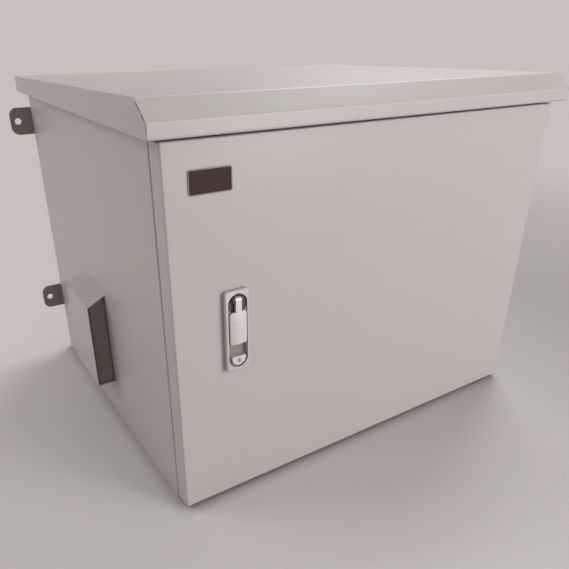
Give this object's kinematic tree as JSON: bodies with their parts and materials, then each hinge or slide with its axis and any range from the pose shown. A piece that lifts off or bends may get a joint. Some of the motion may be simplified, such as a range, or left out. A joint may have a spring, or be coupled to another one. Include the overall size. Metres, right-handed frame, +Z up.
{
  "type": "roadside utility cabinet",
  "caption": "Low box-shaped outdoor equipment cabinet of folded sheet steel with a pitched rain hood, a lockable overlay door, side vent hoods, wall ears and rack rails inside.",
  "frame": {"origin": "middle of the body's base, on the ground", "axes": "+X to the right along the door, +Y from the door to the rear wall, +Z up"},
  "size_m": [0.666, 0.5278, 0.4936],
  "materials": {
    "shell_paint": "semi-gloss beige-grey powder coat",
    "ear_paint": "dark satin paint",
    "filter_foam": "open dark foam",
    "fan_plastic": "black moulded",
    "guard_wire": "plated wire",
    "zinc_steel": "zinc-coated sheet",
    "fastener_zinc": "zinc-plated",
    "hinge_steel": "plain steel",
    "seal_rubber": "matt black",
    "plate_dark": "dark anodised",
    "lock_satin": "satin chrome on zinc casting",
    "key_brass": "nickel-plated"
  },
  "bodies": {
    "cabinet": {"body_earth_nut": "fastener_zinc", "body_earth_stud": "fastener_zinc", "body_shell": "shell_paint", "bottom_panel": "shell_paint", "cable_grommets": "seal_rubber", "ear_bolts": "fastener_zinc", "fan_frame": "fan_plastic", "fan_guard": "guard_wire", "fan_screws": "fastener_zinc", "gland_gasket": "seal_rubber", "gland_plate": "zinc_steel", "gland_screws": "fastener_zinc", "hinge_body_leaf_lower": "hinge_steel", "hinge_body_leaf_upper": "hinge_steel", "hinge_pins": "hinge_steel", "rack_rail_front_left": "zinc_steel", "rack_rail_front_right": "zinc_steel", "rack_rail_rear_left": "zinc_steel", "rack_rail_rear_right": "zinc_steel", "rail_bolts": "fastener_zinc", "rail_carrier_lower_left": "zinc_steel", "rail_carrier_lower_right": "zinc_steel", "rail_carrier_upper_left": "zinc_steel", "rail_carrier_upper_right": "zinc_steel", "rail_nuts": "fastener_zinc", "roof_bolts": "fastener_zinc", "roof_bosses": "shell_paint", "roof_hood": "shell_paint", "top_panel": "shell_paint", "vent_filter_left": "filter_foam", "vent_filter_right": "filter_foam", "vent_hood_left": "shell_paint", "vent_hood_right": "shell_paint", "wall_ear_lower_left": "ear_paint", "wall_ear_lower_right": "ear_paint", "wall_ear_upper_left": "ear_paint", "wall_ear_upper_right": "ear_paint"},
    "door": {"door_panel": "shell_paint", "door_stiffener_lock_side": "zinc_steel", "door_stiffener_hinge_side": "zinc_steel", "door_gasket": "seal_rubber", "nameplate": "plate_dark", "lock_body": "lock_satin", "lock_pad": "seal_rubber", "lock_clamp": "zinc_steel", "lock_screws": "fastener_zinc", "door_earth_stud": "fastener_zinc", "door_earth_nut": "fastener_zinc", "hinge_door_leaf_lower": "hinge_steel", "hinge_door_leaf_upper": "hinge_steel"},
    "rotor": {"lock_rotor": "lock_satin", "lever_pin": "fastener_zinc", "lock_tongue": "zinc_steel", "tongue_screw": "fastener_zinc"},
    "handle": {"lock_handle": "lock_satin"},
    "button": {"lock_button": "lock_satin"},
    "key": {"key_barrel": "key_brass"},
    "fan": {"fan_rotor": "fan_plastic"}
  },
  "joints": [
    {"name": "door_hinge", "type": "hinge", "parent": "cabinet", "child": "door", "pos_m": [0.291, -0.255, 0.23], "axis": [0, 0, 1], "range_deg": [0, 110]},
    {"name": "handle_swing", "type": "hinge", "parent": "door", "child": "rotor", "pos_m": [-0.2235, -0.275, 0.274], "axis": [0, -1, 0], "range_deg": [0, 90]},
    {"name": "handle_lift", "type": "hinge", "parent": "rotor", "child": "handle", "pos_m": [-0.2235, -0.2755, 0.279], "axis": [-1, 0, 0], "range_deg": [0, 60]},
    {"name": "button_push", "type": "slide", "parent": "door", "child": "button", "axis": [0, 1, 0], "range_m": [0, 0.003], "stiffness_N_per_m": 600},
    {"name": "key_turn", "type": "hinge", "parent": "button", "child": "key", "pos_m": [-0.2235, -0.27, 0.202], "axis": [0, -1, 0], "range_deg": [0, 90]},
    {"name": "fan_spin", "type": "hinge", "parent": "cabinet", "child": "fan", "pos_m": [0.286, 0.0205, 0.12975], "axis": [1, 0, 0], "continuous": true}
  ],
  "couplings": [
    {"joint": "handle_lift", "follows": "handle_swing", "ratio": 0.666}
  ]
}
